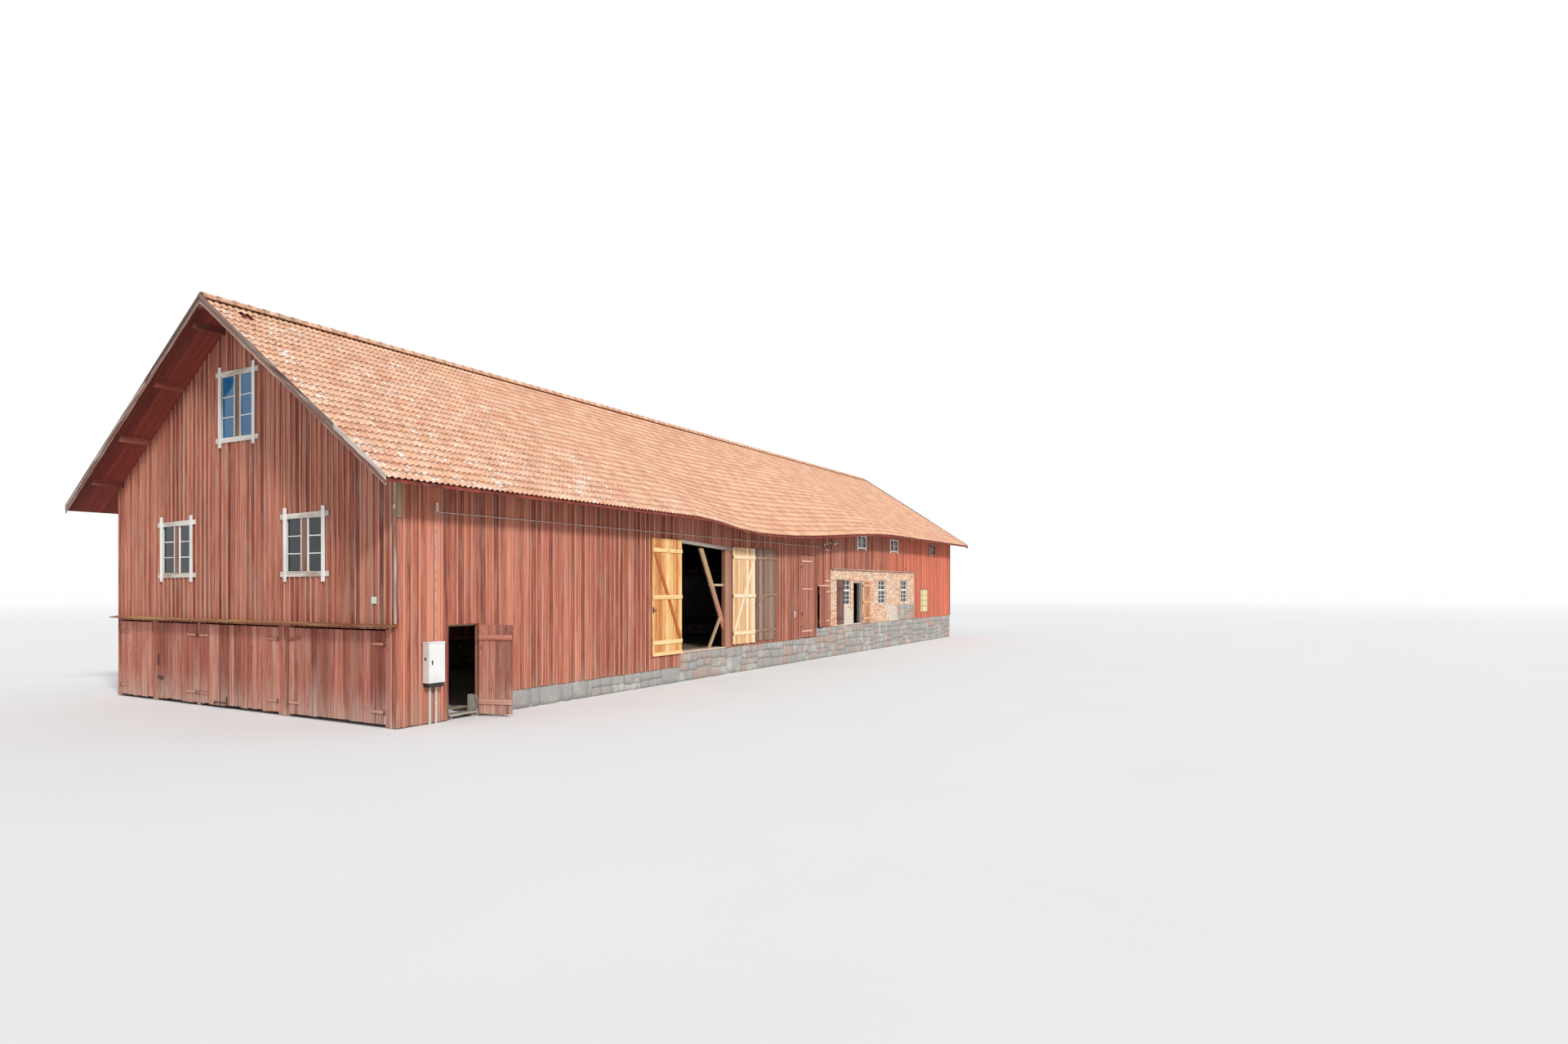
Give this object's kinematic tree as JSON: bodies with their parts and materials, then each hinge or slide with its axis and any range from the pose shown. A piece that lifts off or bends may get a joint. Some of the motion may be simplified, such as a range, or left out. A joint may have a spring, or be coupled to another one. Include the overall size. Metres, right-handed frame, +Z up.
{
  "type": "timber barn",
  "caption": "Long red timber barn with a wavy clay-tile roof, white-trimmed gable windows, cart bay doors, a threshing floor behind big pine doors and a brick stable.",
  "frame": {"origin": "on the lowest ground, under the middle of the building", "axes": "+X along the building away from the near gable with the cart bay doors, the long front wall with the main doorway faces -Y, +Z up"},
  "size_m": [39.756, 13.5, 10],
  "materials": {
    "red_wood": "old distemper paint, sun-bleached and greying on the gable",
    "new_pine": "new oiled pine boards",
    "weathered_wood": "bare weathered boards and timbers",
    "floor_wood": "worn planks",
    "white_wood": "white oil paint",
    "clay_tile": "matt clay with lichen",
    "brick": "rough fired clay with lime joints",
    "rubble_stone": "rough field stone",
    "window_glass": "clear, a little dusty",
    "white_metal": "satin white",
    "dark_iron": "forged, slightly rusty",
    "cable_grey": "weathered"
  },
  "bodies": {
    "barn": {"stone_foundation_front": "rubble_stone", "stone_foundation_back": "rubble_stone", "stone_foundation_far": "rubble_stone", "stone_cross_wall": "rubble_stone", "stone_step_wall": "rubble_stone", "front_wall_corner": "red_wood", "front_wall_left": "red_wood", "front_wall_middle": "red_wood", "walls_over_doorways": "red_wood", "door_posts": "red_wood", "doorway_lintel": "weathered_wood", "doorway_braces": "weathered_wood", "brick_wall_front": "brick", "front_wall_hay_loft": "red_wood", "front_wall_far": "red_wood", "brick_wall_back": "brick", "back_wall": "red_wood", "gable_wall_near": "red_wood", "gable_posts": "red_wood", "gable_drip_board": "weathered_wood", "gable_wall_far": "red_wood", "roof_boards_front": "red_wood", "roof_boards_back": "red_wood", "roof_tiles_front": "clay_tile", "roof_tiles_back": "clay_tile", "ridge_tiles": "clay_tile", "purlins_front": "red_wood", "purlins_back": "red_wood", "ridge_beam": "red_wood", "roof_frames": "weathered_wood", "bargeboards_near": "weathered_wood", "bargeboards_far": "weathered_wood", "loft_floor": "floor_wood", "threshing_floor": "floor_wood", "stable_floor": "floor_wood", "hay_loft_floor": "floor_wood", "gable_window_frames": "white_wood", "front_window_frames": "white_wood", "rear_window_frames": "white_wood", "window_glass": "window_glass", "stable_drip_board": "red_wood", "meter_cabinet": "white_metal", "wall_cable": "cable_grey", "door_hinges": "dark_iron"},
    "cart_door_a": {"cart_door_a": "red_wood"},
    "cart_door_b": {"cart_door_b": "red_wood"},
    "cart_door_c": {"cart_door_c": "red_wood"},
    "cart_door_d": {"cart_door_d": "red_wood"},
    "cart_door_e": {"cart_door_e": "red_wood"},
    "cart_door_f": {"cart_door_f": "red_wood"},
    "main_door_left": {"main_door_left": "new_pine"},
    "main_door_right": {"main_door_right": "new_pine"},
    "grey_door": {"grey_door": "weathered_wood"},
    "red_door": {"red_door": "red_wood"},
    "bay_door": {"bay_door": "red_wood"},
    "stable_door": {"stable_door": "red_wood"},
    "low_door": {"low_door": "red_wood"}
  },
  "joints": [
    {"name": "cart_door_a_hinge", "type": "hinge", "parent": "barn", "child": "cart_door_a", "pos_m": [-19.018, 5.71, 1], "axis": [0, 0, -1], "range_deg": [0, 95]},
    {"name": "cart_door_b_hinge", "type": "hinge", "parent": "barn", "child": "cart_door_b", "pos_m": [-19.018, 1.865, 1], "axis": [0, 0, 1], "range_deg": [0, 90]},
    {"name": "cart_door_c_hinge", "type": "hinge", "parent": "barn", "child": "cart_door_c", "pos_m": [-19.018, 1.735, 1], "axis": [0, 0, -1], "range_deg": [0, 90]},
    {"name": "cart_door_d_hinge", "type": "hinge", "parent": "barn", "child": "cart_door_d", "pos_m": [-19.018, -1.66, 1], "axis": [0, 0, 1], "range_deg": [0, 95]},
    {"name": "cart_door_e_hinge", "type": "hinge", "parent": "barn", "child": "cart_door_e", "pos_m": [-19.018, -2.09, 1], "axis": [0, 0, -1], "range_deg": [0, 95]},
    {"name": "cart_door_f_hinge", "type": "hinge", "parent": "barn", "child": "cart_door_f", "pos_m": [-19.018, -5.52, 1], "axis": [0, 0, 1], "range_deg": [0, 95]},
    {"name": "main_door_left_hinge", "type": "hinge", "parent": "barn", "child": "main_door_left", "pos_m": [-8.75, -5.941, 1], "axis": [0, 0, 1], "range_deg": [0, 180]},
    {"name": "main_door_right_hinge", "type": "hinge", "parent": "barn", "child": "main_door_right", "pos_m": [-5.7, -5.941, 1], "axis": [0, 0, -1], "range_deg": [0, 180]},
    {"name": "grey_door_hinge", "type": "hinge", "parent": "barn", "child": "grey_door", "pos_m": [-2.64, -5.941, 1], "axis": [0, 0, 1], "range_deg": [0, 180]},
    {"name": "red_door_hinge", "type": "hinge", "parent": "barn", "child": "red_door", "pos_m": [-0.44, -5.918, 1], "axis": [0, 0, -1], "range_deg": [0, 95]},
    {"name": "bay_door_hinge", "type": "hinge", "parent": "barn", "child": "bay_door", "pos_m": [2.18, -5.918, 1], "axis": [0, 0, 1], "range_deg": [-5, 94]},
    {"name": "stable_door_hinge", "type": "hinge", "parent": "barn", "child": "stable_door", "pos_m": [5.66, -5.941, 1], "axis": [0, 0, -1], "range_deg": [0, 180]},
    {"name": "low_door_hinge", "type": "hinge", "parent": "barn", "child": "low_door", "pos_m": [-16.79, -5.918, 1], "axis": [0, 0, 1], "range_deg": [-107, 60]}
  ]
}
